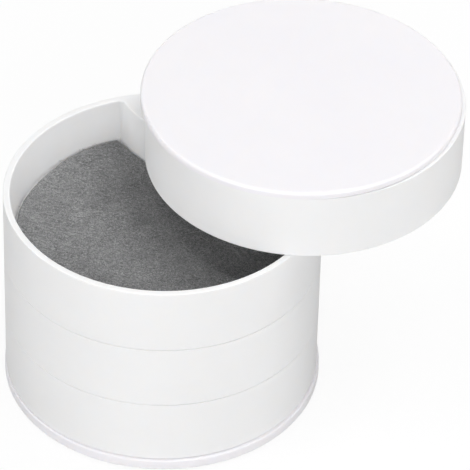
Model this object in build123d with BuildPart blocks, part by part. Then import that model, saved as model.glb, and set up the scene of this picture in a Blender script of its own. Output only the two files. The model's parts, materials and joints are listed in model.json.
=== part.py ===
from build123d import *

import os
from math import cos, radians, sin, tan

# Round jewelry box of four trays and a lid plate that swing about one upright bolt.
# The origin is the middle of the underside, +Z is up and the bolt stands towards +Y.
# The top tray and the lid plate are swung out, as on a box left open.

# Trays
TRAY_RADIUS = 51.0
TRAY_HEIGHT = 22.8
WALL = 2.2
DRAFT_ANGLE = 4.0
FLOOR_THICKNESS = 2.0
SKIRT_DEPTH = 4.2
EDGE_ROUND = 0.2
FOOT_CHAMFER = 0.15
RIM_ROUND = 0.5
CORNER_ROUND = 1.6
FLOOR_CHAMFER = 0.4

# Web of each tray, the closed part round the bolt with a bowed face towards the compartment
PIVOT_INSET = 11.0
WEB_ARC_PAST_BOLT = 20.6
WEB_ARC_RADIUS = 31.0
WEB_WALL = 1.8
DECK_THICKNESS = 2.0
SOCKET_RADIUS = 7.5
SOCKET_DEPTH = 3.5
SOCKET_WALL = 1.6
BOSS_RADIUS = 6.0

# Ribs on the underside of each tray
RIB_THICKNESS = 1.4
RIB_RECESS = 0.3
RIB_BITE = 0.4
RIB_COUNT = 8
HUB_RADIUS = 7.0
RIB_RING_RADIUS = 27.0

# Felt mats
MAT_THICKNESS = 2.0
MAT_MARGIN = 0.6
MAT_CORNER = 1.2
MAT_CHAMFER = 0.4

# Stack
LAYER_GAP = 0.15
THRUST_CLEARANCE = 0.05
RUNNING_CLEARANCE = 0.06
SOCKET_CLEARANCE = 0.2
LOWER_SWING_ANGLE = -0.6
TOP_SWING_ANGLE = 74.7
LID_SWING_ANGLE = 73.5

# Base plate, whose middle lies a little further from the bolt than a tray's, and the soft pad under it
BASE_OVERHANG = 0.6
BASE_THICKNESS = 3.8
BASE_SET_BACK = 0.4
BASE_TOP_ROUND = 0.5
BASE_FOOT_ROUND = 0.8
PAD_INSET = 5.6
PAD_THICKNESS = 1.0
PAD_PROUD = 0.4
PAD_CLEARANCE = 0.3
PAD_CHAMFER = 0.25
BASE_SEAT_DEPTH = 0.4

# Lid plate, whose middle lies a little nearer to the bolt than a tray's
LID_OVERHANG = 0.2
LID_THICKNESS = 2.3
LID_SET_IN = 1.2
LID_TOP_ROUND = 0.95
LID_FOOT_CHAMFER = 0.15
SPIGOT_LENGTH = 2.45
SPIGOT_CHAMFER = 0.3

# Brass insert in the lid plate
INSERT_RADIUS = 3.4
INSERT_LENGTH = 3.8
INSERT_SINK = 0.1
INSERT_GROOVE_WIDTH = 0.9
INSERT_GROOVE_DEPTH = 0.3
PRESS_GAP = 0.02

# Shoulder bolt
SHANK_RADIUS = 2.5
THREAD_RADIUS = 2.0
THREAD_LENGTH = 3.5
THREAD_CHAMFER = 0.4
HEAD_RADIUS = 4.2
HEAD_SINK = 0.1
HEX_RADIUS = 1.7
HEX_DEPTH = 1.1
HEX_SIDES = 6

# Washers
WASHER_CHAMFER = 0.2
TOP_WASHER_THICKNESS = 0.4
SPRING_SHEET = 0.35
SPRING_RISE = 0.38
SPRING_BORE_CLEARANCE = 0.5
SPRING_AIR = 0.03

# Cutting tools run past the face that they open by this much
OVERRUN = 1.0

# Sizes worked out from the ones above
BASE_RADIUS = TRAY_RADIUS + BASE_OVERHANG
PAD_RADIUS = BASE_RADIUS - PAD_INSET
LID_RADIUS = TRAY_RADIUS + LID_OVERHANG
PIVOT_REACH = TRAY_RADIUS - PIVOT_INSET
BASE_REACH = PIVOT_REACH + BASE_SET_BACK
LID_REACH = PIVOT_REACH - LID_SET_IN
WEB_ARC_REACH = PIVOT_REACH + WEB_ARC_PAST_BOLT
CAVITY_RADIUS = TRAY_RADIUS - WALL
FLOOR_TOP = SKIRT_DEPTH + FLOOR_THICKNESS
CAVITY_DEPTH = TRAY_HEIGHT - FLOOR_TOP
FLOOR_INSET = CAVITY_DEPTH * tan(radians(DRAFT_ANGLE))
HOLLOW_ARC_RADIUS = WEB_ARC_RADIUS - WEB_WALL
BORE_RADIUS = SHANK_RADIUS + RUNNING_CLEARANCE
WASHER_RADIUS = SOCKET_RADIUS - SOCKET_CLEARANCE
PITCH = TRAY_HEIGHT + LAYER_GAP
BASE_TOP = PAD_PROUD + BASE_THICKNESS
BOTTOM_LEVEL = BASE_TOP + LAYER_GAP
LAYER_NAMES = ("bottom", "lower", "upper", "top")
LAYER_ANGLES = (LOWER_SWING_ANGLE, LOWER_SWING_ANGLE, LOWER_SWING_ANGLE, TOP_SWING_ANGLE)
LID_LEVEL = BOTTOM_LEVEL + len(LAYER_NAMES) * PITCH
SPIGOT_FOOT = LID_LEVEL - SPIGOT_LENGTH
PIVOT = Axis((0, BASE_REACH, 0), (0, 0, 1))


def layer_place(level, swing, reach):
    """Plane at a layer's underside: its middle swings about the bolt, its +Y points at the bolt."""
    turn = radians(swing)
    middle = (reach * sin(turn), BASE_REACH - reach * cos(turn), level)
    return Plane(origin=middle, x_dir=(cos(turn), sin(turn), 0), z_dir=(0, 0, 1))


def pivot_place(level, swing=0.0):
    """Plane on the bolt's axis, turned with the layer that carries the piece."""
    turn = radians(swing)
    return Plane(origin=(0, BASE_REACH, level), x_dir=(cos(turn), sin(turn), 0), z_dir=(0, 0, 1))


def compartment(circle_radius, arc_radius):
    """Outline of a compartment: a circle with the web's bow cut out of it."""
    Circle(circle_radius)
    with Locations((0, WEB_ARC_REACH)):
        Circle(arc_radius, mode=Mode.SUBTRACT)


def make_tray(place):
    """One moulded tray: wall, floor, web with bolt boss and socket, ribs underneath."""
    with BuildPart() as tray:
        with BuildSketch(place):
            Circle(TRAY_RADIUS)
        extrude(amount=TRAY_HEIGHT)
        fillet(tray.faces().sort_by(Axis.Z)[-1].edges(), EDGE_ROUND)
        chamfer(tray.faces().sort_by(Axis.Z)[0].edges(), FOOT_CHAMFER)

        # Compartment with drafted walls
        with BuildSketch(place.offset(TRAY_HEIGHT)) as outline:
            compartment(CAVITY_RADIUS, WEB_ARC_RADIUS)
            fillet(outline.vertices(), CORNER_ROUND)
        extrude(amount=-CAVITY_DEPTH, taper=DRAFT_ANGLE, mode=Mode.SUBTRACT)
        floor_face = tray.faces().filter_by(Axis.Z).sort_by(Axis.Z)[-2]
        corner_left = CORNER_ROUND - FLOOR_INSET
        chamfer(floor_face.outer_wire().edges(), min(FLOOR_CHAMFER, corner_left / 2))
        rim_face = tray.faces().sort_by(Axis.Z)[-1]
        fillet(rim_face.inner_wires()[0].edges(), RIM_ROUND)

        # Hollow skirt under the floor, and the hollow inside the web
        with BuildSketch(place):
            Circle(CAVITY_RADIUS)
        extrude(amount=SKIRT_DEPTH, mode=Mode.SUBTRACT)
        with BuildSketch(place):
            Circle(CAVITY_RADIUS)
            with Locations((0, WEB_ARC_REACH)):
                Circle(HOLLOW_ARC_RADIUS, mode=Mode.INTERSECT)
        extrude(amount=TRAY_HEIGHT - DECK_THICKNESS, mode=Mode.SUBTRACT)

        # Bolt boss, with the thicker cup of the socket at its top
        with BuildSketch(place):
            with Locations((0, PIVOT_REACH)):
                Circle(BOSS_RADIUS)
        extrude(amount=TRAY_HEIGHT - DECK_THICKNESS)
        cup_foot = TRAY_HEIGHT - SOCKET_DEPTH - SOCKET_WALL
        with BuildSketch(place.offset(cup_foot)):
            with Locations((0, PIVOT_REACH)):
                Circle(SOCKET_RADIUS + SOCKET_WALL)
        extrude(amount=SOCKET_DEPTH + SOCKET_WALL - DECK_THICKNESS)

        # Ribs from the boss to the walls of the web
        with BuildSketch(place.offset(RIB_RECESS)):
            with Locations((0, PIVOT_REACH)):
                Rectangle(2 * TRAY_RADIUS, RIB_THICKNESS)
                Rectangle(RIB_THICKNESS, 2 * TRAY_RADIUS)
            Circle(CAVITY_RADIUS + RIB_BITE, mode=Mode.INTERSECT)
            with Locations((0, WEB_ARC_REACH)):
                Circle(HOLLOW_ARC_RADIUS + RIB_BITE, mode=Mode.INTERSECT)
        extrude(amount=TRAY_HEIGHT - DECK_THICKNESS - RIB_RECESS)

        # Ribs under the floor: a hub, a ring and spokes, all short of the tray below
        with BuildSketch(place.offset(RIB_RECESS)):
            Circle(RIB_RING_RADIUS)
            Circle(RIB_RING_RADIUS - RIB_THICKNESS, mode=Mode.SUBTRACT)
            Circle(HUB_RADIUS)
            with PolarLocations(0, RIB_COUNT):
                Rectangle(TRAY_RADIUS, RIB_THICKNESS, align=(Align.MIN, Align.CENTER))
            Circle(HUB_RADIUS - RIB_THICKNESS, mode=Mode.SUBTRACT)
            Circle(CAVITY_RADIUS + RIB_BITE, mode=Mode.INTERSECT)
            with Locations((0, WEB_ARC_REACH)):
                Circle(HOLLOW_ARC_RADIUS, mode=Mode.SUBTRACT)
        extrude(amount=SKIRT_DEPTH - RIB_RECESS)

        # Socket and bore
        with BuildSketch(place.offset(TRAY_HEIGHT)):
            with Locations((0, PIVOT_REACH)):
                Circle(SOCKET_RADIUS)
        extrude(amount=-SOCKET_DEPTH, mode=Mode.SUBTRACT)
        with BuildSketch(place):
            with Locations((0, PIVOT_REACH)):
                Circle(BORE_RADIUS)
        extrude(amount=TRAY_HEIGHT, mode=Mode.SUBTRACT)
    return tray


def make_mat(place):
    """Felt mat lying on a tray's floor, cut a little smaller than the floor."""
    with BuildPart() as mat:
        with BuildSketch(place.offset(FLOOR_TOP)) as outline:
            shrink = FLOOR_INSET + MAT_MARGIN
            compartment(CAVITY_RADIUS - shrink, WEB_ARC_RADIUS + shrink)
            fillet(outline.vertices(), MAT_CORNER)
        extrude(amount=MAT_THICKNESS)
        chamfer(mat.faces().sort_by(Axis.Z)[-1].edges(), MAT_CHAMFER)
    return mat


def make_ring(place, thickness, chamfer_size):
    """Flat washer or spacer that fits a socket and runs on the bolt."""
    with BuildPart() as ring:
        with BuildSketch(place):
            Circle(WASHER_RADIUS)
            Circle(BORE_RADIUS + RUNNING_CLEARANCE, mode=Mode.SUBTRACT)
        extrude(amount=thickness)
        rims = ring.edges().filter_by(GeomType.CIRCLE).group_by(SortBy.RADIUS)[-1]
        chamfer(rims, min(chamfer_size, thickness / 3))
    return ring


def save(piece, name):
    """Label a finished piece and write it to its own file."""
    piece.part.label = name
    export_step(piece.part, f"parts/{name}.step")


os.makedirs("parts", exist_ok=True)

# Base plate: recess for the pad below, seat for the washer above, countersunk bolt hole
with BuildPart() as base_plate:
    with BuildSketch(Plane.XY.offset(PAD_PROUD)):
        Circle(BASE_RADIUS)
    extrude(amount=BASE_THICKNESS)
    fillet(base_plate.faces().sort_by(Axis.Z)[-1].edges(), BASE_TOP_ROUND)
    fillet(base_plate.faces().sort_by(Axis.Z)[0].edges(), BASE_FOOT_ROUND)
    with BuildSketch(Plane.XY.offset(PAD_PROUD)):
        Circle(PAD_RADIUS + PAD_CLEARANCE)
    extrude(amount=PAD_THICKNESS - PAD_PROUD, mode=Mode.SUBTRACT)
    with BuildSketch(pivot_place(BASE_TOP)):
        Circle(SOCKET_RADIUS)
    extrude(amount=-BASE_SEAT_DEPTH, mode=Mode.SUBTRACT)
    with BuildSketch(Plane(origin=(0, BASE_REACH, 0), x_dir=(1, 0, 0), z_dir=(0, -1, 0))):
        with BuildLine():
            sink_radius = HEAD_RADIUS + RUNNING_CLEARANCE
            sink_top = PAD_THICKNESS + HEAD_SINK + sink_radius - BORE_RADIUS + RUNNING_CLEARANCE
            Polyline(
                (0, 0),
                (sink_radius, 0),
                (sink_radius, PAD_THICKNESS + HEAD_SINK + RUNNING_CLEARANCE),
                (BORE_RADIUS, sink_top),
                (BORE_RADIUS, BASE_TOP + OVERRUN),
                (0, BASE_TOP + OVERRUN),
                close=True,
            )
        make_face()
    revolve(axis=PIVOT, mode=Mode.SUBTRACT)
save(base_plate, "base_plate")

# Soft pad under the base plate, which the box stands on
with BuildPart() as base_pad:
    with BuildSketch(Plane.XY):
        Circle(PAD_RADIUS)
    extrude(amount=PAD_THICKNESS)
    chamfer(base_pad.faces().sort_by(Axis.Z)[0].edges(), PAD_CHAMFER)
save(base_pad, "base_pad")

# Thin washer between the base plate and the bottom tray's boss
base_washer = make_ring(
    pivot_place(BASE_TOP - BASE_SEAT_DEPTH),
    BASE_SEAT_DEPTH + LAYER_GAP - THRUST_CLEARANCE,
    WASHER_CHAMFER,
)
save(base_washer, "base_washer")

# Four trays with their mats, and the thick spacers that hold the layers apart
for index, (name, swing) in enumerate(zip(LAYER_NAMES, LAYER_ANGLES)):
    level = BOTTOM_LEVEL + index * PITCH
    place = layer_place(level, swing, PIVOT_REACH)
    save(make_tray(place), f"{name}_tray")
    save(make_mat(place), f"{name}_mat")
    socket_floor = pivot_place(level + TRAY_HEIGHT - SOCKET_DEPTH, swing)
    if name == LAYER_NAMES[-1]:
        save(make_ring(socket_floor, TOP_WASHER_THICKNESS, WASHER_CHAMFER), "top_washer")
    else:
        thickness = SOCKET_DEPTH + LAYER_GAP - THRUST_CLEARANCE
        save(make_ring(socket_floor, thickness, WASHER_CHAMFER), f"{name}_spacer")

# Lid plate with the spigot that sits in the top tray's socket
lid_place = layer_place(LID_LEVEL, LID_SWING_ANGLE, LID_REACH)
with BuildPart() as lid_plate:
    with BuildSketch(lid_place):
        Circle(LID_RADIUS)
    extrude(amount=LID_THICKNESS)
    fillet(lid_plate.faces().sort_by(Axis.Z)[-1].edges(), LID_TOP_ROUND)
    chamfer(lid_plate.faces().sort_by(Axis.Z)[0].edges(), LID_FOOT_CHAMFER)
    with BuildSketch(pivot_place(SPIGOT_FOOT)):
        Circle(WASHER_RADIUS)
    extrude(amount=SPIGOT_LENGTH)
    chamfer(lid_plate.faces().sort_by(Axis.Z)[0].edges(), SPIGOT_CHAMFER)
    with BuildSketch(pivot_place(SPIGOT_FOOT)):
        Circle(INSERT_RADIUS + PRESS_GAP)
    extrude(amount=INSERT_LENGTH + INSERT_SINK, mode=Mode.SUBTRACT)
save(lid_plate, "lid_plate")

# Brass insert that takes the bolt's thread, with a groove between its two gripping bands
with BuildPart() as lid_insert:
    with BuildSketch(pivot_place(SPIGOT_FOOT)):
        Circle(INSERT_RADIUS)
        Circle(THREAD_RADIUS + PRESS_GAP, mode=Mode.SUBTRACT)
    extrude(amount=INSERT_LENGTH)
    with BuildSketch(pivot_place(SPIGOT_FOOT + (INSERT_LENGTH - INSERT_GROOVE_WIDTH) / 2)):
        Circle(INSERT_RADIUS + OVERRUN)
        Circle(INSERT_RADIUS - INSERT_GROOVE_DEPTH, mode=Mode.SUBTRACT)
    extrude(amount=INSERT_GROOVE_WIDTH, mode=Mode.SUBTRACT)
save(lid_insert, "lid_insert")

# Shoulder bolt: countersunk head in the base plate, thread in the lid plate's insert
with BuildPart() as pivot_bolt:
    head_foot = PAD_THICKNESS + HEAD_SINK
    with BuildSketch(Plane(origin=(0, BASE_REACH, 0), x_dir=(1, 0, 0), z_dir=(0, -1, 0))):
        with BuildLine():
            thread_top = SPIGOT_FOOT + THREAD_LENGTH
            Polyline(
                (0, head_foot),
                (HEAD_RADIUS, head_foot),
                (SHANK_RADIUS, head_foot + HEAD_RADIUS - SHANK_RADIUS),
                (SHANK_RADIUS, SPIGOT_FOOT),
                (THREAD_RADIUS, SPIGOT_FOOT),
                (THREAD_RADIUS, thread_top - THREAD_CHAMFER),
                (THREAD_RADIUS - THREAD_CHAMFER, thread_top),
                (0, thread_top),
                close=True,
            )
        make_face()
    revolve(axis=PIVOT)
    with BuildSketch(pivot_place(head_foot)):
        RegularPolygon(HEX_RADIUS, HEX_SIDES)
    extrude(amount=HEX_DEPTH, mode=Mode.SUBTRACT)
save(pivot_bolt, "pivot_bolt")

# Bowed spring washer under the lid's spigot, which keeps a light drag on the layers
with BuildPart() as spring_washer:
    spring_foot = LID_LEVEL - LAYER_GAP - SOCKET_DEPTH + TOP_WASHER_THICKNESS + SPRING_AIR
    spring_radius = WASHER_RADIUS - RUNNING_CLEARANCE
    with BuildSketch(pivot_place(spring_foot)):
        Circle(spring_radius)
        Circle(SHANK_RADIUS + SPRING_BORE_CLEARANCE, mode=Mode.SUBTRACT)
    extrude(amount=SPRING_RISE + SPRING_SHEET)
    with BuildSketch(
        Plane(origin=(0, BASE_REACH, spring_foot), x_dir=(1, 0, 0), z_dir=(0, -1, 0))
    ):
        with BuildLine():
            lower = ThreePointArc((-spring_radius, 0), (0, SPRING_RISE), (spring_radius, 0))
            upper = ThreePointArc(
                (-spring_radius, SPRING_SHEET),
                (0, SPRING_RISE + SPRING_SHEET),
                (spring_radius, SPRING_SHEET),
            )
            Line(lower @ 0, upper @ 0)
            Line(lower @ 1, upper @ 1)
        make_face()
    extrude(amount=spring_radius, both=True, mode=Mode.INTERSECT)
save(spring_washer, "spring_washer")
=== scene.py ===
import json
import random
from math import atan2, cos, exp, pi, radians, sin, sqrt

import bmesh
import bpy
from mathutils import Matrix, Vector, noise

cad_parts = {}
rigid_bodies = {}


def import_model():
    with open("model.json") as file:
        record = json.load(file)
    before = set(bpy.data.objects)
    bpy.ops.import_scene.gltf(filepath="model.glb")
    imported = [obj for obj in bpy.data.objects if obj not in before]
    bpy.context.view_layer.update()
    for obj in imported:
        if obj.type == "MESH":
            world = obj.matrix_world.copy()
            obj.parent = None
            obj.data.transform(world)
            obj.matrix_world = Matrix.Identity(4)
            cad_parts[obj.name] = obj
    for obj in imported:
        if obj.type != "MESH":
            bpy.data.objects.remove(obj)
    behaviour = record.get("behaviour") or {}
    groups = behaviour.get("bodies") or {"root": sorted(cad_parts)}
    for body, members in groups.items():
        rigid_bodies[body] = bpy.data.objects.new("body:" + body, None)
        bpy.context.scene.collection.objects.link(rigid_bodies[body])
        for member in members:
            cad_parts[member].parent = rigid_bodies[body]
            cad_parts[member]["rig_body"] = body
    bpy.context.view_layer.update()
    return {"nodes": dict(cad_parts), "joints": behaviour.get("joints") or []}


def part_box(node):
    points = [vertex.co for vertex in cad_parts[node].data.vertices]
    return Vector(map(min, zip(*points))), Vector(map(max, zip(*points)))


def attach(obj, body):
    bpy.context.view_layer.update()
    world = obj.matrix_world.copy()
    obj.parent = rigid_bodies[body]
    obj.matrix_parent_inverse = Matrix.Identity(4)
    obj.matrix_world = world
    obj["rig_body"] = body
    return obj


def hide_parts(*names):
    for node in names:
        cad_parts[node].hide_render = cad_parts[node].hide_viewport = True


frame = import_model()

# Round jewelry box: four stacked trays and a lid plate that swing out about one upright bolt.
# Lengths are metres. Z is up, and the bolt stands towards +Y.

MM = 0.001
LAYERS = ("bottom", "lower", "upper", "top")
BOLT = Vector(frame["joints"][0]["pos_m"])

# Camera of the photograph: angles in degrees, lens and sensor in millimetres
CAMERA_TARGET = Vector((33.0, -44.2, 97.65)) * MM
CAMERA_DISTANCE = 1180 * MM
CAMERA_AZIMUTH = 12.31
CAMERA_ELEVATION = 39.62
CAMERA_ROLL = 1.65
CAMERA_SIGHT = 20.0
LENS = 297.6
SENSOR = 36.0

# Light: each softbox by name, azimuth and elevation in degrees, distance and size in metres, and watts
SKY_STRENGTH = 0.078
LAMPS = (
    ("front_softbox", 20, 20, 1.3, 0.8, 9.75),
    ("low_left_softbox", -60, 20, 1.3, 0.8, 5.9),
    ("high_right_lamp", 110, 75, 1.3, 0.6, 4.1),
    ("right_rear_lamp", 140, 55, 1.3, 0.6, 3.3),
    ("low_right_softbox", 60, 20, 1.3, 0.8, 3.2),
    ("high_left_lamp", -85, 75, 1.3, 0.3, 1.8),
    ("left_lamp", -110, 50, 1.3, 0.3, 1.5),
    ("right_rear_softbox", 130, 25, 1.3, 0.8, 1.6),
    ("rear_softbox", 190, 14, 1.3, 0.8, 2.2),
)
FLOOR_SIZE = 6.0
FLOOR_OWN_LIGHT = 0.90
FLOOR_GREY = 0.55
FLOOR_SEEN_GREY = 1.0

# A finish takes its full range of colour and roughness between these values of its noise
NOISE_LOW = 0.3
NOISE_HIGH = 0.7

# Rigid pieces: corners this near are one, and an edge sharper than this many degrees stays crisp
MERGE_DISTANCE = 0.0005 * MM
SHARP_ANGLE = 32.0

# Moulded plastic, which light enters this deep, for its red, green and blue
PLASTIC_IOR = 1.5
PLASTIC_SHINE = 0.15
PLASTIC_GLOW = 0.9
PLASTIC_DEPTH = Vector((0.6, 0.57, 0.54)) * MM

# Turned metal, whose tool marks are drawn out round the upright axis by this share
METAL_MARK_WIDTH = 0.12 * MM
METAL_MARK_DEPTH = 0.003 * MM
METAL_MARK_SHARE = 0.04
METAL_CLOUD_WIDTH = 2.5 * MM

# Nylon washers and spacers
NYLON_CLOUD_WIDTH = 3.0 * MM
NYLON_GRAIN_WIDTH = 0.3 * MM
NYLON_GRAIN_DEPTH = 0.004 * MM

# Foam pad
FOAM_PORE_WIDTH = 0.5 * MM
FOAM_PORE_DEPTH = 0.08 * MM
FOAM_PORE_STRENGTH = 0.7
FOAM_CLOUD_WIDTH = 6.0 * MM

# Shape of the felt mats
FELT_RADIUS = (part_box("upper_mat")[1].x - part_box("upper_mat")[0].x) / 2
FELT_BOW_REACH = 60.6 * MM
FELT_BOW_RADIUS = 33.1 * MM
FELT_CORNER_BLEND = 1.8 * MM
FELT_EDGE_ROUND = 0.5 * MM
FELT_EDGE_STEPS = 4
FELT_RINGS = 56
FELT_SPOKES = 300
FELT_LUMP_WIDTH = 1.7 * MM
FELT_LUMP_HEIGHT = 0.06 * MM
FELT_LUMP_FALL = 0.6
FELT_LUMP_SCALE_STEP = 2.0
FELT_LUMP_LAYERS = 2
FELT_SWELL_WIDTH = 15.0 * MM
FELT_SWELL_HEIGHT = 0.10 * MM
FELT_FRAY_WIDTH = 0.9 * MM
FELT_FRAY_DEPTH = 0.12 * MM
# Where each mat was trimmed short, in degrees round its tray from the side right of the bolt,
# and by how much
FELT_SHORT_SIDES = {
    "bottom": (250, 0.5 * MM),
    "lower": (20, 0.6 * MM),
    "upper": (161, 0.8 * MM),
    "top": (310, 0.5 * MM),
}
FELT_SHORT_SPREAD = 19.0

# Finish of the felt: clouds, tufts and grain, mixed in these shares, and bent by a wider noise
FELT_CLOUD_WIDTH = 7.0 * MM
FELT_TUFT_WIDTH = 0.75 * MM
FELT_TUFT_ROUGHNESS = 0.6
FELT_GRAIN_WIDTH = 0.30 * MM
FELT_BEND_WIDTH = 2.4 * MM
FELT_BEND_REACH = 1.6 * MM
FELT_CLOUD_SHARE = 0.12
FELT_TUFT_SHARE = 0.42
FELT_GRAIN_SHARE = 0.46
FELT_STOPS = (
    (0.37, (0.108, 0.110, 0.112)),
    (0.50, (0.218, 0.220, 0.222)),
    (0.63, (0.372, 0.373, 0.374)),
)
FELT_RELIEF_DEPTH = 0.10 * MM
FELT_RELIEF_STRENGTH = 0.8
FELT_RELIEF_GRAIN_SHARE = 0.5
# Painted light and shade on the felt: lighter towards the front left and darker towards the rear right,
# along this way, between these distances, by these factors
FELT_PAINTED_SHADE_WAY = Vector((0.75, 0.66, 0.0))
FELT_PAINTED_SHADE_FROM = -22.0 * MM
FELT_PAINTED_SHADE_TO = 6.0 * MM
FELT_PAINTED_LIGHT_GAIN = 1.25
FELT_PAINTED_SHADE_GAIN = 0.95

# Loose fibres on the felt: as many to a square metre, lengths between the shortest and longest share of
# the full one, turns in degrees about the way that they lie, and bends and tilts in radians
FIBRE_SHAPES = 9
FIBRE_SIDES = 3
FIBRE_STEPS = 4
FIBRE_LENGTH = 3.4 * MM
FIBRE_SHORTEST_SHARE = 0.45
FIBRE_LONGEST_SHARE = 1.25
FIBRE_RADIUS = 0.040 * MM
FIBRE_LIFT = 0.10 * MM
FIBRE_BEND = 0.5
FIBRE_WANDER = 0.35
FIBRE_WAVE_SHARE = 0.4
FIBRE_WAVE_RATE = 5
FIBRE_OVERHANG = 0.08 * MM
FIBRE_DENSITY = 1000000.0
FIBRE_LEAST_FACING = 0.6
FIBRE_TILT = 0.03
FIBRE_LAY = 12.0
FIBRE_LAY_SPREAD = 36.0
FIBRE_SEED = 11
FIBRE_OWN_SHARE = 0.7
FIBRE_CLOUD_WIDTH = 1.4 * MM
FIBRE_STOPS = ((0.15, 0.09), (0.50, 0.24), (0.85, 0.45))

# Colour sockets of a Mix node, which has one set of sockets for each kind of value
MIX_FIRST = 6
MIX_SECOND = 7
MIX_RESULT = 2


class Wire:
    """One socket of a material's node tree, written in sums and products like a number."""

    def __init__(self, finish, socket):
        self.finish = finish
        self.socket = socket

    def maths(self, operation, left, right):
        """Adds a Math node for values, a Vector Math node for vectors or a Mix node for colours."""
        kinds = {w.socket.type for w in (left, right) if isinstance(w, Wire)}
        if kinds == {"VALUE"}:
            return self.finish.add("ShaderNodeMath", {"operation": operation}, {0: left, 1: right})
        if "RGBA" in kinds:
            return self.finish.mix(operation, left, right)
        return self.finish.add("ShaderNodeVectorMath", {"operation": operation}, {0: left, 1: right})

    def __add__(self, other):
        return self.maths("ADD", self, other)

    def __radd__(self, other):
        return self.maths("ADD", other, self)

    def __sub__(self, other):
        return self.maths("SUBTRACT", self, other)

    def __rsub__(self, other):
        return self.maths("SUBTRACT", other, self)

    def __mul__(self, other):
        return self.maths("MULTIPLY", self, other)

    def __rmul__(self, other):
        return self.maths("MULTIPLY", other, self)


class Finish:
    """A material, or a sky, under construction from its node tree up."""

    def __init__(self, name, owner=None):
        self.owner = owner or bpy.data.materials.new(name)
        self.owner.use_nodes = True
        self.tree = self.owner.node_tree
        self.tree.nodes.clear()

    def add(self, kind, settings=None, sockets=None, output=0):
        """Adds one node: its settings first, then the values or wires of its sockets."""
        node = self.tree.nodes.new(kind)
        for name, value in (settings or {}).items():
            if name == "stops":
                set_stops(node.color_ramp, value)
            else:
                setattr(node, name, value)
        for name, value in (sockets or {}).items():
            if isinstance(value, Wire):
                self.tree.links.new(value.socket, node.inputs[name])
            else:
                node.inputs[name].default_value = value
        return Wire(self, node.outputs[output]) if node.outputs else None

    def mix(self, operation, left, right, share=1.0):
        """Mixes two colours."""
        settings = {"data_type": "RGBA", "blend_type": operation}
        sockets = {0: share, MIX_FIRST: as_colour(left), MIX_SECOND: as_colour(right)}
        return self.add("ShaderNodeMix", settings, sockets, output=MIX_RESULT)

    def place(self):
        """Object coordinates, in metres."""
        return self.add("ShaderNodeTexCoord", output="Object")

    def noise(self, width, detail=2.0, roughness=0.5, place=None, output="Fac"):
        """Noise from 0 to 1 whose lumps are about this wide, as a value or a colour."""
        sockets = {
            "Vector": place or self.place(),
            "Scale": 1 / width,
            "Detail": detail,
            "Roughness": roughness,
        }
        return self.add("ShaderNodeTexNoise", None, sockets, output)

    def clouds(self, width):
        """Soft noise for broad, faint changes of colour and roughness."""
        return self.noise(width, detail=3.0)

    def ramp(self, value, stops):
        """A colour ramp over a value."""
        return self.add("ShaderNodeValToRGB", {"stops": stops}, {"Fac": value})

    def between(self, value, low, high, new_low, new_high, smooth=True):
        """Maps a range of values to another one, held at both ends."""
        settings = {"interpolation_type": "SMOOTHSTEP" if smooth else "LINEAR"}
        ends = {"From Min": low, "From Max": high, "To Min": new_low, "To Max": new_high}
        return self.add("ShaderNodeMapRange", settings, {"Value": value, **ends})

    def tint(self, value, dark, light):
        """A colour from dark to light over a noise."""
        return self.ramp(value, ((NOISE_LOW, dark), (NOISE_HIGH, light)))

    def roughen(self, value, smooth, rough):
        """A roughness from smooth to rough over a noise."""
        return self.between(value, NOISE_LOW, NOISE_HIGH, smooth, rough)

    def bump(self, height, depth, strength=1.0):
        """Normal of a surface with this relief, depth metres deep."""
        return self.add("ShaderNodeBump", None, {"Height": height, "Distance": depth, "Strength": strength})

    def seen(self):
        """1 where the camera, a mirror or clear stuff looks, and 0 where light is only passed on."""
        rays = ("Is Camera Ray", "Is Glossy Ray", "Is Transmission Ray")
        straight, mirrored, through = (self.add("ShaderNodeLightPath", output=ray) for ray in rays)
        either = straight.maths("MAXIMUM", straight, mirrored)
        return either.maths("MAXIMUM", either, through)

    def shade(self, **sockets):
        """Ends the material in a Principled shader with these sockets."""
        named = {name.replace("_", " "): value for name, value in sockets.items()}
        shader = self.add("ShaderNodeBsdfPrincipled", None, named)
        return self.end(shader)

    def end(self, shader, kind="ShaderNodeOutputMaterial"):
        """Joins the last shader to the output."""
        self.add(kind, None, {"Surface": shader})
        return self.owner


def set_stops(ramp, stops):
    """Stops of a colour ramp, each a place and a grey or a colour."""
    while len(ramp.elements) < len(stops):
        ramp.elements.new(1.0)
    for element, (position, value) in zip(ramp.elements, stops):
        element.position = position
        element.color = as_colour(value)


def as_colour(value):
    """A wire as it is, or a grey or an RGB colour with its alpha added."""
    if isinstance(value, Wire):
        return value
    if isinstance(value, (int, float)):
        return (value, value, value, 1.0)
    return (*value[:3], 1.0)


def plastic_finish(name, cloud_width, grain_width, grain_depth, dark, light, smooth, rough):
    """Satin moulded plastic, faintly clouded and translucent, with a fine spark-eroded grain."""
    finish = Finish(name)
    cloud = finish.clouds(cloud_width)
    grain = finish.noise(grain_width)
    return finish.shade(
        Base_Color=finish.tint(cloud, dark, light),
        Roughness=finish.roughen(cloud, smooth, rough),
        IOR=PLASTIC_IOR,
        Specular_IOR_Level=PLASTIC_SHINE,
        Subsurface_Weight=PLASTIC_GLOW,
        Subsurface_Radius=PLASTIC_DEPTH,
        Subsurface_Scale=1.0,
        Normal=finish.bump(grain, grain_depth),
    )


def tray_finish():
    """Satin white of the trays."""
    return plastic_finish(
        "satin_white_tray",
        cloud_width=22 * MM,
        grain_width=0.22 * MM,
        grain_depth=0.004 * MM,
        dark=(0.900, 0.900, 0.901),
        light=(0.916, 0.915, 0.917),
        smooth=0.54,
        rough=0.62,
    )


def plate_finish():
    """Lilac white of the lid and base plates, with a finer grain."""
    return plastic_finish(
        "lilac_white_plate",
        cloud_width=30 * MM,
        grain_width=0.18 * MM,
        grain_depth=0.003 * MM,
        dark=(0.898, 0.881, 0.923),
        light=(0.914, 0.895, 0.937),
        smooth=0.50,
        rough=0.58,
    )


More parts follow.
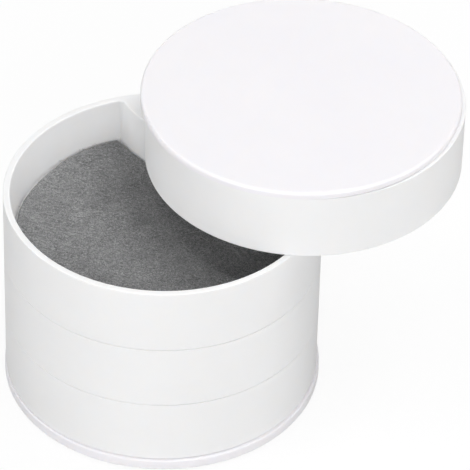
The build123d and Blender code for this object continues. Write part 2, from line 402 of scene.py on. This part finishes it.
def felt_painted_light_and_shade(finish):
    """Painted light and shade across the mat: lighter to the front left, darker to the rear right."""
    along = finish.add("ShaderNodeVectorMath", {"operation": "DOT_PRODUCT"},
                       {0: finish.place(), 1: FELT_PAINTED_SHADE_WAY}, output="Value")
    return finish.between(along, FELT_PAINTED_SHADE_FROM, FELT_PAINTED_SHADE_TO, FELT_PAINTED_LIGHT_GAIN, FELT_PAINTED_SHADE_GAIN)


def felt_finish():
    """Grey needle felt: mottled at several scales and matt."""
    finish = Finish("grey_felt")
    bend = finish.noise(FELT_BEND_WIDTH, output="Color")
    middle = Vector((0.5, 0.5, 0.5))
    place = finish.place() + (bend - middle) * Vector((FELT_BEND_REACH,) * 3)
    tufts = finish.noise(FELT_TUFT_WIDTH, detail=3.0, roughness=FELT_TUFT_ROUGHNESS, place=place)
    grain = finish.noise(FELT_GRAIN_WIDTH, detail=1.0, place=place)
    cloud = finish.clouds(FELT_CLOUD_WIDTH)
    value = tufts * FELT_TUFT_SHARE + grain * FELT_GRAIN_SHARE + cloud * FELT_CLOUD_SHARE
    relief = tufts + grain * FELT_RELIEF_GRAIN_SHARE
    return finish.shade(
        # The felt's colour is multiplied by painted light and shade, lighter to the front left and darker
        # to the rear right
        Base_Color=finish.mix("MULTIPLY", finish.ramp(value, FELT_STOPS), felt_painted_light_and_shade(finish)),
        Roughness=0.96,
        Specular_IOR_Level=0.2,
        Normal=finish.bump(relief, FELT_RELIEF_DEPTH, FELT_RELIEF_STRENGTH),
    )


def fibre_finish():
    """Loose fibres of the felt, each of its own grey."""
    finish = Finish("grey_fibres")
    own = finish.add("ShaderNodeAttribute", {"attribute_name": "tone"}, output="Fac")
    along = finish.noise(FIBRE_CLOUD_WIDTH, detail=1.0)
    value = own * FIBRE_OWN_SHARE + along * (1 - FIBRE_OWN_SHARE)
    return finish.shade(
        # The fibres get the same painted light and shade as the felt, lighter to the front left and darker
        # to the rear right
        Base_Color=finish.mix("MULTIPLY", finish.ramp(value, FIBRE_STOPS), felt_painted_light_and_shade(finish)),
        Roughness=0.8,
        Specular_IOR_Level=0.3,
    )


def nylon_finish():
    """Natural nylon, faintly clouded."""
    finish = Finish("natural_nylon")
    cloud = finish.clouds(NYLON_CLOUD_WIDTH)
    return finish.shade(
        Base_Color=finish.tint(cloud, dark=(0.73, 0.72, 0.66), light=(0.80, 0.79, 0.74)),
        Roughness=finish.roughen(cloud, smooth=0.38, rough=0.48),
        Normal=finish.bump(finish.noise(NYLON_GRAIN_WIDTH), NYLON_GRAIN_DEPTH),
    )


def metal_finish(name, dark, light, smooth, rough):
    """Turned metal, its fine tool marks running round the upright axis."""
    finish = Finish(name)
    squash = Vector((METAL_MARK_SHARE, METAL_MARK_SHARE, 1.0))
    marks = finish.noise(METAL_MARK_WIDTH, place=finish.place() * squash)
    cloud = finish.clouds(METAL_CLOUD_WIDTH)
    return finish.shade(
        Base_Color=finish.tint(cloud, dark, light),
        Metallic=1.0,
        Roughness=finish.roughen(marks, smooth, rough),
        Normal=finish.bump(marks, METAL_MARK_DEPTH),
    )


def foam_finish():
    """Dark closed-cell foam with small pores."""
    finish = Finish("dark_foam")
    sockets = {"Vector": finish.place(), "Scale": 1 / FOAM_PORE_WIDTH}
    pores = finish.add("ShaderNodeTexVoronoi", None, sockets)
    cloud = finish.clouds(FOAM_CLOUD_WIDTH)
    return finish.shade(
        Base_Color=finish.tint(cloud, dark=(0.045, 0.045, 0.048), light=(0.065, 0.065, 0.068)),
        Roughness=finish.roughen(cloud, smooth=0.82, rough=0.92),
        Normal=finish.bump(pores, FOAM_PORE_DEPTH, FOAM_PORE_STRENGTH),
    )


def floor_finish():
    """Pale floor that the camera and mirrors see as white, apart from the object's shadow."""
    finish = Finish("pale_floor")
    seen = finish.seen()
    grey = finish.mix("MIX", FLOOR_GREY, FLOOR_SEEN_GREY, share=seen)
    plain = finish.add("ShaderNodeBsdfDiffuse", None, {"Color": grey})
    glow = finish.add("ShaderNodeEmission", None, {"Color": as_colour(1.0), "Strength": 1.0})
    sockets = {0: seen * FLOOR_OWN_LIGHT, 1: plain, 2: glow}
    return finish.end(finish.add("ShaderNodeMixShader", None, sockets))


def link(name, mesh, material):
    """A new object in the scene with this mesh and material."""
    piece = bpy.data.objects.new(name, mesh)
    bpy.context.scene.collection.objects.link(piece)
    mesh.materials.clear()
    mesh.materials.append(material)
    return piece


def settled(piece):
    """Turns a piece's modifiers into plain mesh."""
    graph = bpy.context.evaluated_depsgraph_get()
    mesh = bpy.data.meshes.new_from_object(piece.evaluated_get(graph), depsgraph=graph)
    piece.modifiers.clear()
    piece.data = mesh
    return piece


def moulded(node, material):
    """A rigid piece with its solid's own shape, its faces joined so that curves shade smoothly."""
    bm = bmesh.new()
    bm.from_mesh(frame["nodes"][node].data)
    bmesh.ops.remove_doubles(bm, verts=bm.verts, dist=MERGE_DISTANCE)
    places = [v.co.copy() for v in bm.verts]
    faces = [[v.index for v in f.verts] for f in bm.faces]
    bm.free()
    mesh = bpy.data.meshes.new(f"{node}_skin")
    mesh.from_pydata(places, [], faces)
    mesh.shade_smooth()
    mesh.set_sharp_from_angle(angle=radians(SHARP_ANGLE))
    piece = link(f"{node}_skin", mesh, material)
    weigh = piece.modifiers.new("Even normals", "WEIGHTED_NORMAL")
    weigh.keep_sharp = True
    settled(piece)
    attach(piece, frame["nodes"][node]["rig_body"])
    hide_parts(node)


def layer_place(node):
    """Where a layer's node lies: its middle, turned so that +Y points at the bolt, at its lowest level."""
    low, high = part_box(node)
    middle = (low + high) / 2
    turn = atan2(middle.x - BOLT.x, BOLT.y - middle.y)
    return Matrix.Translation((middle.x, middle.y, low.z)) @ Matrix.Rotation(turn, 4, "Z")


def felt_reach(angle, short_side):
    """From the middle of a mat to its edge in one direction: a circle with the web's bow cut out."""
    short_at, short_by = short_side
    off = (angle - radians(short_at) + pi) % (2 * pi) - pi
    round_reach = FELT_RADIUS - short_by * exp(-(off / radians(FELT_SHORT_SPREAD)) ** 2)
    within = FELT_BOW_RADIUS ** 2 - (FELT_BOW_REACH * cos(angle)) ** 2
    if sin(angle) <= 0 or within <= 0:
        return round_reach
    bow_reach = FELT_BOW_REACH * sin(angle) - sqrt(within)
    near = max(FELT_CORNER_BLEND - abs(bow_reach - round_reach), 0) / FELT_CORNER_BLEND
    return min(bow_reach, round_reach) - near * near * FELT_CORNER_BLEND / 4


def felt_profile(reach, height):
    """Section of a mat from its middle to its foot, as distances from the middle and levels."""
    flat = reach - FELT_EDGE_ROUND
    section = [(flat * ring / FELT_RINGS, height) for ring in range(1, FELT_RINGS + 1)]
    for step in range(1, FELT_EDGE_STEPS + 1):
        turn = pi / 2 * step / FELT_EDGE_STEPS
        section.append((flat + FELT_EDGE_ROUND * sin(turn), height - FELT_EDGE_ROUND * (1 - cos(turn))))
    section.append((reach, (height - FELT_EDGE_ROUND) / 2))
    section.append((reach, 0.0))
    return section


def felt_relief(place, share):
    """Height that the felt's lumps and swells add, as a share of the full relief."""
    lumps = noise.fractal(place / FELT_LUMP_WIDTH, FELT_LUMP_FALL, FELT_LUMP_SCALE_STEP, FELT_LUMP_LAYERS)
    swells = noise.noise(place / FELT_SWELL_WIDTH)
    return share * (lumps * FELT_LUMP_HEIGHT + swells * FELT_SWELL_HEIGHT)


def felt_mesh(name, height, short_side, place):
    """A needle-felt mat: rounded worn edge, uneven face, flat underside."""
    bm = bmesh.new()
    seed = Vector((place.translation.z / MM, 0.0, 0.0))
    crown = bm.verts.new((0, 0, height))
    columns = []
    for spoke in range(FELT_SPOKES):
        angle = 2 * pi * spoke / FELT_SPOKES
        column = []
        for distance, level in felt_profile(felt_reach(angle, short_side), height):
            point = Vector((distance * cos(angle), distance * sin(angle), level))
            share = level / height
            fray = noise.noise(point / FELT_FRAY_WIDTH + seed) - 1
            edge = 1 if distance > FELT_EDGE_ROUND and level < height else 0
            shift = edge * share * FELT_FRAY_DEPTH * fray / max(distance, FELT_EDGE_ROUND)
            point.x += point.x * shift
            point.y += point.y * shift
            point.z += felt_relief(Vector((point.x, point.y, 0)) + seed * MM, share)
            column.append(bm.verts.new(point))
        columns.append(column)
    foot = bm.verts.new((0, 0, 0))
    for column, following in zip(columns, columns[1:] + columns[:1]):
        bm.faces.new((crown, column[0], following[0]))
        for step in range(len(column) - 1):
            bm.faces.new((column[step], column[step + 1], following[step + 1], following[step]))
        bm.faces.new((foot, following[-1], column[-1]))
    bmesh.ops.transform(bm, matrix=place, verts=bm.verts)
    return finished_mesh(name, bm)


def finished_mesh(name, bm):
    """A smooth mesh with its faces pointing outwards."""
    bmesh.ops.recalc_face_normals(bm, faces=bm.faces)
    mesh = bpy.data.meshes.new(name)
    bm.to_mesh(mesh)
    bm.free()
    mesh.shade_smooth()
    return mesh


def fibre_path(draw):
    """Centres and headings along one curly fibre that lies along X, its ends dipping into the felt."""
    heading = 0.0
    bend = draw.uniform(-FIBRE_BEND, FIBRE_BEND)
    step_length = FIBRE_LENGTH / FIBRE_STEPS
    path = []
    point = Vector((-FIBRE_LENGTH / 2, 0, 0))
    for step in range(FIBRE_STEPS + 1):
        along = step / FIBRE_STEPS
        arch = FIBRE_LIFT * (4 * along * (1 - along))
        point.z = arch * (1 + FIBRE_WAVE_SHARE * sin(FIBRE_WAVE_RATE * along + bend)) - FIBRE_RADIUS
        path.append((point.copy(), heading))
        heading += bend + draw.uniform(-FIBRE_WANDER, FIBRE_WANDER)
        point.x += step_length * cos(heading)
        point.y += step_length * sin(heading)
    return path


def fibre_mesh(name, draw):
    """One curly fibre: a strand of few sides with closed ends."""
    bm = bmesh.new()
    turns = [pi / 2 + 2 * pi * side / FIBRE_SIDES for side in range(FIBRE_SIDES)]
    sections = []
    for centre, heading in fibre_path(draw):
        across = Vector((-sin(heading), cos(heading), 0))
        corners = [across * cos(turn) + Vector((0, 0, sin(turn))) for turn in turns]
        sections.append([bm.verts.new(centre + corner * FIBRE_RADIUS) for corner in corners])
    for first, second in zip(sections, sections[1:]):
        for side in range(FIBRE_SIDES):
            after = (side + 1) % FIBRE_SIDES
            bm.faces.new((first[side], second[side], second[after], first[after]))
    bm.faces.new(sections[0])
    bm.faces.new(sections[-1][::-1])
    return finished_mesh(name, bm)


def fibre_patterns():
    """A collection of differently curled fibres, kept out of the picture."""
    draw = random.Random(FIBRE_SEED)
    patterns = bpy.data.collections.new("fibre_patterns")
    for number in range(FIBRE_SHAPES):
        name = f"fibre_pattern_{number}"
        patterns.objects.link(bpy.data.objects.new(name, fibre_mesh(name, draw)))
    return patterns


class Growth:
    """A Geometry Nodes tree under construction."""

    def __init__(self, name, inputs):
        self.tree = bpy.data.node_groups.new(name, "GeometryNodeTree")
        for label, kind in inputs:
            self.tree.interface.new_socket(label, in_out="INPUT", socket_type=kind)
        self.tree.interface.new_socket("Geometry", in_out="OUTPUT", socket_type="NodeSocketGeometry")
        self.given = self.tree.nodes.new("NodeGroupInput").outputs

    def add(self, kind, settings=None, sockets=None):
        """Adds one node: its settings first, then the values or links of its sockets."""
        node = self.tree.nodes.new(kind)
        for name, value in (settings or {}).items():
            setattr(node, name, value)
        for name, value in (sockets or {}).items():
            if isinstance(value, bpy.types.NodeSocket):
                self.tree.links.new(value, node.inputs[name])
            else:
                node.inputs[name].default_value = value
        return node.outputs

    def vector(self, x, y, z):
        """A vector from three values."""
        return self.add("ShaderNodeCombineXYZ", None, {"X": x, "Y": y, "Z": z})[0]

    def times(self, left, right):
        """The product of two values."""
        return self.add("ShaderNodeMath", {"operation": "MULTIPLY"}, {0: left, 1: right})[0]

    def compare(self, operation, left, right):
        """Whether a value is greater or less than another one."""
        settings = {"data_type": "FLOAT", "operation": operation}
        return self.add("FunctionNodeCompare", settings, {0: left, 1: right})[0]

    def random_vector(self, low, high, seed):
        """A vector drawn between two others for each point."""
        sockets = {0: low, 1: high, "Seed": seed}
        return self.add("FunctionNodeRandomValue", {"data_type": "FLOAT_VECTOR"}, sockets)[0]

    def random_value(self, low, high, seed):
        """A value drawn between two others for each point."""
        sockets = {2: low, 3: high, "Seed": seed}
        return self.add("FunctionNodeRandomValue", {"data_type": "FLOAT"}, sockets)[1]

    def end(self, geometry):
        """Joins the last geometry to the output."""
        output = self.tree.nodes.new("NodeGroupOutput")
        self.tree.links.new(geometry, output.inputs[0])
        return self.tree


def fibre_tree():
    """Scatters the fibre patterns over the upper face of a mat, each turned and sized by chance."""
    grow = Growth("Felt fibres", [
        ("Mat", "NodeSocketGeometry"),
        ("Patterns", "NodeSocketCollection"),
        ("Fibres per square metre", "NodeSocketFloat"),
        ("Least facing", "NodeSocketFloat"),
        ("Shortest", "NodeSocketFloat"),
        ("Longest", "NodeSocketFloat"),
        ("Half length", "NodeSocketFloat"),
        ("Overhang", "NodeSocketFloat"),
        ("Tilt", "NodeSocketFloat"),
        ("Lowest turn", "NodeSocketFloat"),
        ("Highest turn", "NodeSocketFloat"),
        ("Seed", "NodeSocketInt"),
        ("Finish", "NodeSocketMaterial"),
    ])
    given = grow.given
    normal = grow.add("GeometryNodeInputNormal")[0]
    upward = grow.add("ShaderNodeSeparateXYZ", None, {0: normal})["Z"]
    points = grow.add("GeometryNodeDistributePointsOnFaces", None, {
        "Mesh": given["Mat"],
        "Selection": grow.compare("GREATER_THAN", upward, given["Least facing"]),
        "Density": given["Fibres per square metre"],
        "Seed": given["Seed"],
    })[0]
    patterns = grow.add("GeometryNodeCollectionInfo", None, {
        "Collection": given["Patterns"],
        "Separate Children": True,
        "Reset Children": True,
    })[0]
    lowest = grow.times(given["Tilt"], -1.0)
    low_turn = grow.vector(lowest, lowest, given["Lowest turn"])
    high_turn = grow.vector(given["Tilt"], given["Tilt"], given["Highest turn"])
    turn = grow.random_vector(low_turn, high_turn, given["Seed"])
    size = grow.random_value(given["Shortest"], given["Longest"], given["Seed"])
    tone = grow.random_value(0.0, 1.0, given["Seed"])

    arm = grow.vector(grow.times(size, given["Half length"]), 0.0, 0.0)
    arm = grow.add("ShaderNodeVectorRotate", {"rotation_type": "EULER_XYZ"},
                   {"Vector": arm, "Rotation": turn})[0]
    middle = grow.add("GeometryNodeInputPosition")[0]
    on_mat = []
    for operation in ("ADD", "SUBTRACT"):
        tip = grow.add("ShaderNodeVectorMath", {"operation": operation}, {0: middle, 1: arm})[0]
        gap = grow.add("GeometryNodeProximity", {"target_element": "FACES"},
                       {0: given["Mat"], "Sample Position": tip})["Distance"]
        on_mat.append(grow.compare("LESS_THAN", gap, given["Overhang"]))
    both = grow.add("FunctionNodeBooleanMath", {"operation": "AND"}, {0: on_mat[0], 1: on_mat[1]})[0]

    placed = grow.add("GeometryNodeInstanceOnPoints", None, {
        "Points": points,
        "Selection": both,
        "Instance": patterns,
        "Pick Instance": True,
        "Rotation": turn,
        "Scale": size,
    })[0]
    toned = grow.add("GeometryNodeStoreNamedAttribute", {"data_type": "FLOAT", "domain": "INSTANCE"},
                     {"Geometry": placed, "Name": "tone", "Value": tone})[0]
    whole = grow.add("GeometryNodeRealizeInstances", None, {"Geometry": toned})[0]
    dressed = grow.add("GeometryNodeSetMaterial", None, {"Geometry": whole, "Material": given["Finish"]})[0]
    return grow.end(dressed)


def grown(name, base, tree, values):
    """A new piece that a Geometry Nodes tree makes from a base mesh, as plain mesh."""
    piece = bpy.data.objects.new(name, base)
    bpy.context.scene.collection.objects.link(piece)
    modifier = piece.modifiers.new(name, "NODES")
    modifier.node_group = tree
    for item in tree.interface.items_tree:
        if item.in_out == "INPUT" and item.name in values:
            modifier[item.identifier] = values[item.name]
    return settled(piece)


def felt_mat(layer, tree, patterns):
    """The felt mat of one tray, and the loose fibres on its face."""
    node = f"{layer}_mat"
    tray_middle = layer_place(f"{layer}_tray")
    low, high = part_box(node)
    place = Matrix.Translation((0, 0, low.z - tray_middle.translation.z)) @ tray_middle
    short_side = FELT_SHORT_SIDES[layer]
    mesh = felt_mesh(f"{layer}_felt", high.z - low.z, short_side, place)
    mat = link(f"{layer}_felt", mesh, FELT)
    fibres = grown(f"{layer}_felt_fibres", mesh, tree, {
        "Patterns": patterns,
        "Fibres per square metre": FIBRE_DENSITY,
        "Least facing": FIBRE_LEAST_FACING,
        "Shortest": FIBRE_SHORTEST_SHARE,
        "Longest": FIBRE_LONGEST_SHARE,
        "Half length": FIBRE_LENGTH / 2,
        "Overhang": FIBRE_OVERHANG,
        "Tilt": FIBRE_TILT,
        "Lowest turn": radians(FIBRE_LAY - FIBRE_LAY_SPREAD),
        "Highest turn": radians(FIBRE_LAY + FIBRE_LAY_SPREAD),
        "Seed": FIBRE_SEED + LAYERS.index(layer),
        "Finish": FIBRES,
    })
    body = frame["nodes"][node]["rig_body"]
    for piece in (mat, fibres):
        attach(piece, body)
    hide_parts(node)
    cut_size(short_side)
    cut_area(short_side)


def cut_size(short_side):
    """Width and length of the flat piece that a mat is cut from."""
    angles = [2 * pi * n / FELT_SPOKES for n in range(FELT_SPOKES)]
    reaches = [felt_reach(angle, short_side) for angle in angles]
    across = [reach * cos(angle) for reach, angle in zip(reaches, angles)]
    along = [reach * sin(angle) for reach, angle in zip(reaches, angles)]
    return max(across) - min(across), max(along) - min(along)


def cut_area(short_side):
    """Flat area that a mat is cut to."""
    step = 2 * pi / FELT_SPOKES
    return sum(felt_reach(step * n, short_side) ** 2 * step / 2 for n in range(FELT_SPOKES))


def direction(azimuth, elevation):
    """Unit vector from the object towards this azimuth and elevation, azimuth 0 being -Y."""
    turn = radians(azimuth)
    rise = radians(elevation)
    return Vector((sin(turn) * cos(rise), -cos(turn) * cos(rise), sin(rise)))


def lamp(name, azimuth, elevation, distance, size, watts):
    """A square soft lamp that faces the object."""
    data = bpy.data.lights.new(name, "AREA")
    data.size = size
    data.energy = watts
    light = bpy.data.objects.new(name, data)
    bpy.context.scene.collection.objects.link(light)
    away = direction(azimuth, elevation)
    light.location = CAMERA_TARGET + away * distance
    light.rotation_euler = away.to_track_quat("Z", "Y").to_euler()


def set_stage():
    """Floor, sky and lamps."""
    mesh = bpy.data.meshes.new("floor")
    half = FLOOR_SIZE / 2
    corners = [(-half, -half, 0), (half, -half, 0), (half, half, 0), (-half, half, 0)]
    mesh.from_pydata(corners, [], [(0, 1, 2, 3)])
    link("floor", mesh, floor_finish())

    sky = Finish("sky", bpy.data.worlds.new("sky"))
    strength = sky.between(sky.seen(), 0.0, 1.0, SKY_STRENGTH, 1.0, smooth=False)
    air = sky.add("ShaderNodeBackground", None, {"Color": as_colour(1.0), "Strength": strength})
    bpy.context.scene.world = sky.end(air, "ShaderNodeOutputWorld")

    for values in LAMPS:
        lamp(*values)


def set_camera():
    """The camera at the photograph's angle."""
    turn = radians(CAMERA_AZIMUTH)
    roll = radians(CAMERA_ROLL)
    back = direction(CAMERA_AZIMUTH, CAMERA_ELEVATION)
    level = Vector((cos(turn), sin(turn), 0))
    upright = back.cross(level)
    right = level * cos(roll) + upright * sin(roll)
    up = upright * cos(roll) - level * sin(roll)
    data = bpy.data.cameras.new("camera")
    data.lens = LENS
    data.sensor_width = SENSOR
    data.clip_end = CAMERA_SIGHT
    camera = bpy.data.objects.new("camera", data)
    bpy.context.scene.collection.objects.link(camera)
    axes = Matrix((right, up, back)).transposed().to_4x4()
    camera.matrix_world = Matrix.Translation(CAMERA_TARGET + back * CAMERA_DISTANCE) @ axes
    bpy.context.scene.camera = camera


TRAY = tray_finish()
PLATE = plate_finish()
FELT = felt_finish()
FIBRES = fibre_finish()
NYLON = nylon_finish()
STEEL = metal_finish("turned_steel", (0.56, 0.56, 0.58), (0.66, 0.66, 0.67), smooth=0.24, rough=0.36)
BRASS = metal_finish("turned_brass", (0.70, 0.52, 0.24), (0.80, 0.62, 0.32), smooth=0.26, rough=0.38)
FOAM = foam_finish()

moulded("base_plate", PLATE)
moulded("lid_plate", PLATE)
moulded("base_pad", FOAM)
for layer in LAYERS:
    moulded(f"{layer}_tray", TRAY)
for node in ("base_washer", "bottom_spacer", "lower_spacer", "upper_spacer", "top_washer"):
    moulded(node, NYLON)
moulded("pivot_bolt", STEEL)
moulded("spring_washer", STEEL)
moulded("lid_insert", BRASS)

tree = fibre_tree()
patterns = fibre_patterns()
for layer in LAYERS:
    felt_mat(layer, tree, patterns)

set_stage()
set_camera()
bpy.context.scene.view_settings.view_transform = "Standard"
